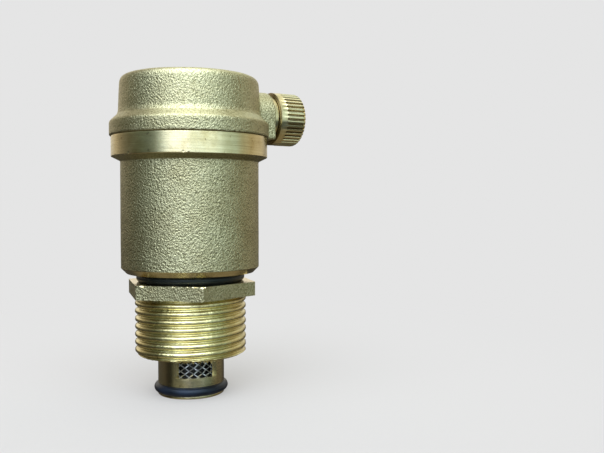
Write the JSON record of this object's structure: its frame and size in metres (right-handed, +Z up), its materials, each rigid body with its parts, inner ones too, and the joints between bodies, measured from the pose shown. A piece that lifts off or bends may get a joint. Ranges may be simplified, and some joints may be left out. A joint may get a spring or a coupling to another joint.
{
  "type": "automatic air vent",
  "caption": "Brass automatic air vent: float chamber with a screwed cover, side outlet with a ribbed cap, and a threaded hexagon nipple that holds a shut-off plunger with a strainer.",
  "frame": {"origin": "on the vertical axis at the underside of the hexagon, where the inlet thread begins", "axes": "+Z up along the vent's axis, +X out along the outlet"},
  "size_m": [0.0599, 0.0474, 0.0953],
  "materials": {
    "cast_brass": "shot-blasted casting",
    "machined_brass": "turned, bright",
    "black_rubber": "smooth, slightly oiled",
    "black_plastic": "moulded, matt",
    "stainless_steel": "bright drawn wire and strip",
    "float_plastic": "moulded polypropylene"
  },
  "bodies": {
    "nipple": {"hex_nipple": "machined_brass", "check_spring": "stainless_steel"},
    "plunger": {"check_plunger": "machined_brass", "check_oring": "black_rubber", "strainer_mesh": "stainless_steel", "strainer_ring": "stainless_steel", "strainer_core": "black_plastic"},
    "body_seal": {"body_oring": "black_rubber"},
    "vent": {"vent_body": "cast_brass", "cover_gasket": "black_rubber", "cover": "cast_brass", "outlet_jet": "machined_brass", "jet_oring": "black_rubber", "lever_bracket": "stainless_steel", "lever_pin": "stainless_steel", "pin_clip": "stainless_steel"},
    "lever": {"valve_lever": "stainless_steel", "valve_pad": "black_rubber", "lever_spring": "stainless_steel"},
    "float": {"float_shell": "float_plastic", "float_lid": "float_plastic", "float_stem": "stainless_steel"},
    "cap_seal": {"outlet_washer": "black_rubber"},
    "cap": {"outlet_cap": "machined_brass"}
  },
  "joints": [
    {"name": "vent_lift", "type": "slide", "parent": "nipple", "child": "body_seal", "axis": [0, 0, 1], "range_m": [0, 0.00871]},
    {"name": "vent_turn", "type": "hinge", "parent": "body_seal", "child": "vent", "pos_m": [0, 0, 0.0067], "axis": [0, 0, 1], "range_deg": [0, 1728]},
    {"name": "plunger_rise", "type": "slide", "parent": "nipple", "child": "plunger", "axis": [0, 0, 1], "range_m": [0, 0.00871], "deforming": ["check_spring"]},
    {"name": "float_rise", "type": "slide", "parent": "vent", "child": "float", "axis": [0, 0, 1], "range_m": [0, 0.0025]},
    {"name": "lever_tilt", "type": "hinge", "parent": "vent", "child": "lever", "pos_m": [0.0095, 0, 0.049], "axis": [0, 1, 0], "range_deg": [0, 15]},
    {"name": "cap_travel", "type": "slide", "parent": "vent", "child": "cap_seal", "axis": [1, 0, 0], "range_m": [0, 0.00267]},
    {"name": "cap_turn", "type": "hinge", "parent": "cap_seal", "child": "cap", "pos_m": [0.032, 0, 0.0544], "axis": [1, 0, 0], "range_deg": [0, 720]}
  ],
  "couplings": [
    {"joint": "vent_turn", "follows": "vent_lift", "rad_per_m": 3463.7},
    {"joint": "plunger_rise", "follows": "vent_lift", "ratio": 1},
    {"joint": "lever_tilt", "follows": "float_rise", "rad_per_m": 104.66},
    {"joint": "cap_turn", "follows": "cap_travel", "rad_per_m": 4699.5}
  ]
}
